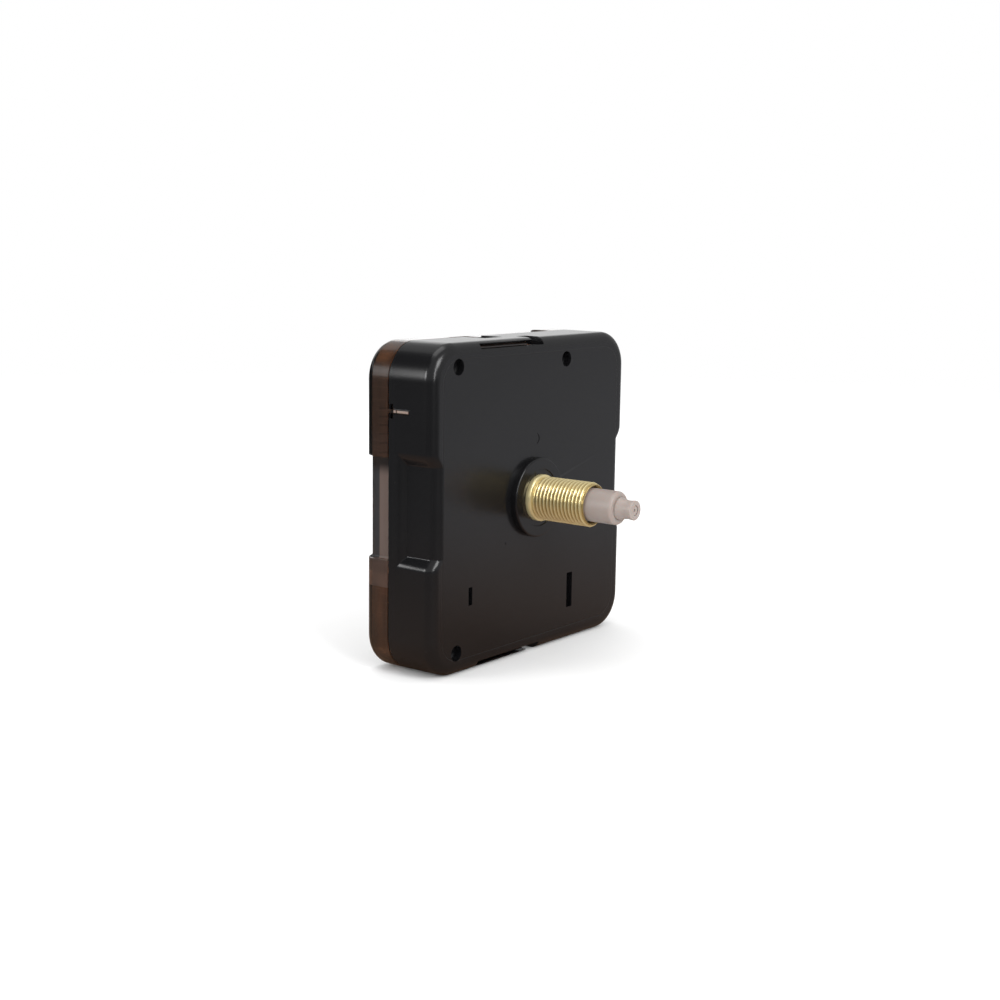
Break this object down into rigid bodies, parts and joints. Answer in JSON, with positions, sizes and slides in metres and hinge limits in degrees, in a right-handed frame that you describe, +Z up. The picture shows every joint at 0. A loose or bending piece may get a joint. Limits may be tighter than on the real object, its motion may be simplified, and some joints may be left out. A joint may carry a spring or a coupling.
{
  "type": "quartz clock movement",
  "caption": "Square battery-driven quartz clock movement: black case with smoke-brown rear cover, threaded brass bushing and coaxial hour, minute and seconds drives.",
  "frame": {"origin": "on the flat foot of the case, straight under the shaft, at half the depth of the case", "axes": "+Z up, -Y out along the shaft through the dial, +X to the right as seen from the dial"},
  "size_m": [0.056, 0.036, 0.056],
  "materials": {
    "black_plastic": "satin",
    "smoke_plastic": "glossy, see-through smoke brown",
    "pale_plastic": "satin, lilac grey",
    "white_plastic": "satin, natural",
    "brass": "bright turned",
    "steel": "smooth",
    "ferrite": "matt",
    "copper": "enamelled wire",
    "tinned": "tinned sheet",
    "laminate": "paper laminate",
    "resin": "poured resin"
  },
  "bodies": {
    "case": {"front_case": "black_plastic", "rear_cover": "smoke_plastic", "threaded_bushing": "brass", "third_arbor": "steel", "intermediate_arbor": "steel", "rotor_arbor": "steel", "train_plate": "pale_plastic", "stator_left": "steel", "stator_right": "steel", "coil_core": "steel", "coil_bobbin": "white_plastic", "coil_winding": "copper", "circuit_board": "laminate", "quartz_crystal": "tinned", "chip_blob": "resin", "positive_contact": "tinned", "negative_contact": "tinned"},
    "hour": {"hour_wheel": "pale_plastic"},
    "minute": {"minute_pipe": "pale_plastic"},
    "minute_work": {"minute_wheel": "white_plastic"},
    "knob": {"setting_knob": "white_plastic"},
    "seconds": {"seconds_arbor": "steel", "seconds_wheel": "white_plastic"},
    "third": {"third_wheel": "white_plastic"},
    "centre": {"centre_wheel": "white_plastic"},
    "intermediate": {"intermediate_wheel": "white_plastic"},
    "rotor": {"rotor_pinion": "white_plastic", "rotor_magnet": "ferrite"}
  },
  "joints": [
    {"name": "hour_spin", "type": "hinge", "parent": "case", "child": "hour", "pos_m": [0, 0, 0.028], "axis": [0, 1, 0], "continuous": true},
    {"name": "minute_spin", "type": "hinge", "parent": "case", "child": "minute", "pos_m": [0, 0, 0.028], "axis": [0, 1, 0], "continuous": true},
    {"name": "minute_wheel_spin", "type": "hinge", "parent": "case", "child": "minute_work", "pos_m": [-0.00786, 0, 0.02503], "axis": [0, 1, 0], "continuous": true},
    {"name": "knob_spin", "type": "hinge", "parent": "case", "child": "knob", "pos_m": [-0.01641, 0, 0.02814], "axis": [0, 1, 0], "continuous": true},
    {"name": "seconds_spin", "type": "hinge", "parent": "case", "child": "seconds", "pos_m": [0, 0, 0.028], "axis": [0, 1, 0], "continuous": true},
    {"name": "third_spin", "type": "hinge", "parent": "case", "child": "third", "pos_m": [0.00712, 0, 0.02533], "axis": [0, 1, 0], "continuous": true},
    {"name": "centre_spin", "type": "hinge", "parent": "case", "child": "centre", "pos_m": [0, 0, 0.028], "axis": [0, 1, 0], "continuous": true},
    {"name": "intermediate_spin", "type": "hinge", "parent": "case", "child": "intermediate", "pos_m": [0.0035, 0, 0.03486], "axis": [0, 1, 0], "continuous": true},
    {"name": "rotor_spin", "type": "hinge", "parent": "case", "child": "rotor", "pos_m": [0.01051, 0, 0.03648], "axis": [0, 1, 0], "continuous": true}
  ],
  "couplings": [
    {"joint": "minute_spin", "follows": "hour_spin", "ratio": 12},
    {"joint": "minute_wheel_spin", "follows": "hour_spin", "ratio": -4},
    {"joint": "knob_spin", "follows": "hour_spin", "ratio": 9},
    {"joint": "third_spin", "follows": "seconds_spin", "ratio": -0.13333},
    {"joint": "centre_spin", "follows": "seconds_spin", "ratio": 0.016667},
    {"joint": "intermediate_spin", "follows": "seconds_spin", "ratio": -6},
    {"joint": "rotor_spin", "follows": "seconds_spin", "ratio": 30}
  ]
}
